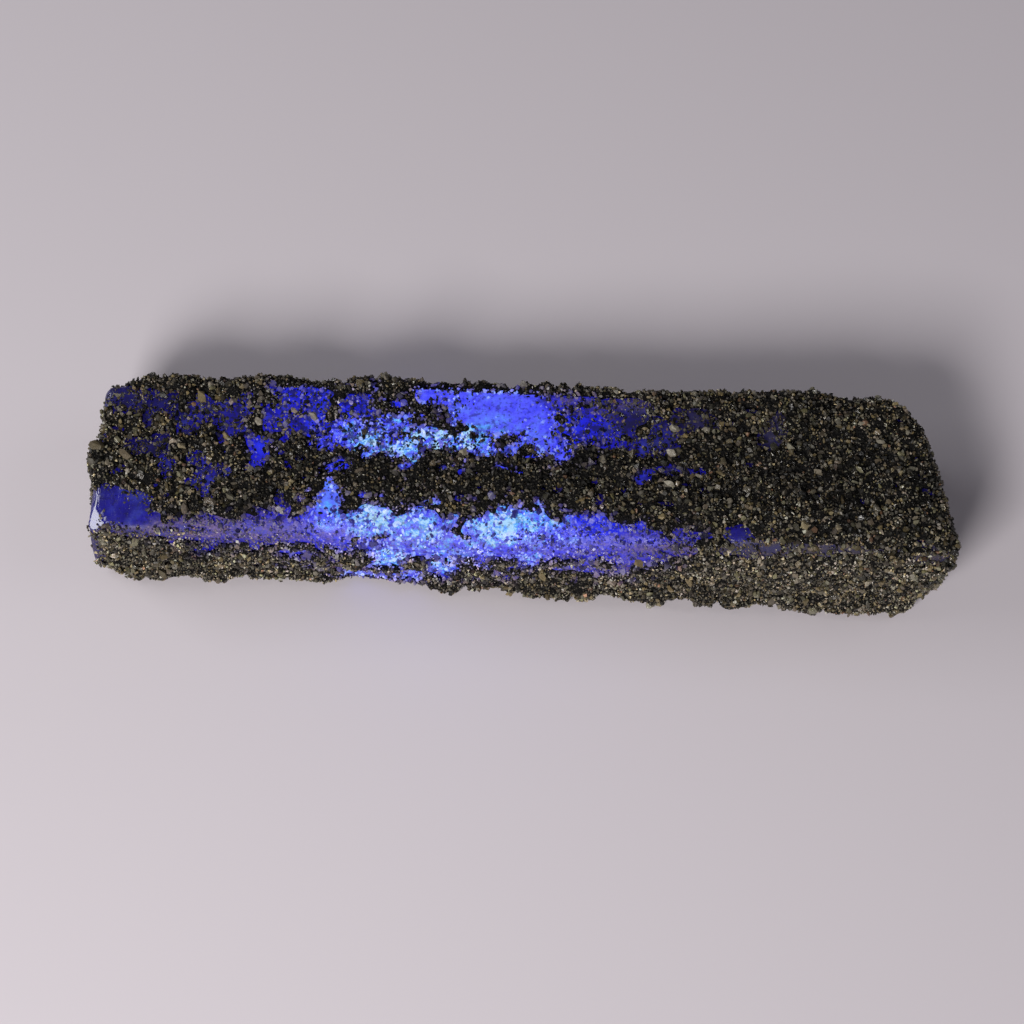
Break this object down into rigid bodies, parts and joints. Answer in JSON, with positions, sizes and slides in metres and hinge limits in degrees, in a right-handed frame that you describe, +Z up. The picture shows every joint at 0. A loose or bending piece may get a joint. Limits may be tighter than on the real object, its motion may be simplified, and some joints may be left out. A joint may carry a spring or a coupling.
{
  "type": "rough sapphire",
  "caption": "Long bar of rough blue sapphire lying flat, see-through where bare, with a crust of dark sand that has come away in windows along its top and front edge.",
  "frame": {"origin": "middle of the stone's outline, on the surface it lies on", "axes": "+X along the stone towards its thicker end, +Y from its worn front edge to its back, +Z up"},
  "size_m": [0.088, 0.0214, 0.0139],
  "materials": {
    "sapphire": "gloss",
    "sand_crust": "matte"
  },
  "bodies": {
    "root": {"sapphire_crystal": "sapphire", "sand_crust": "sand_crust"}
  },
  "joints": []
}
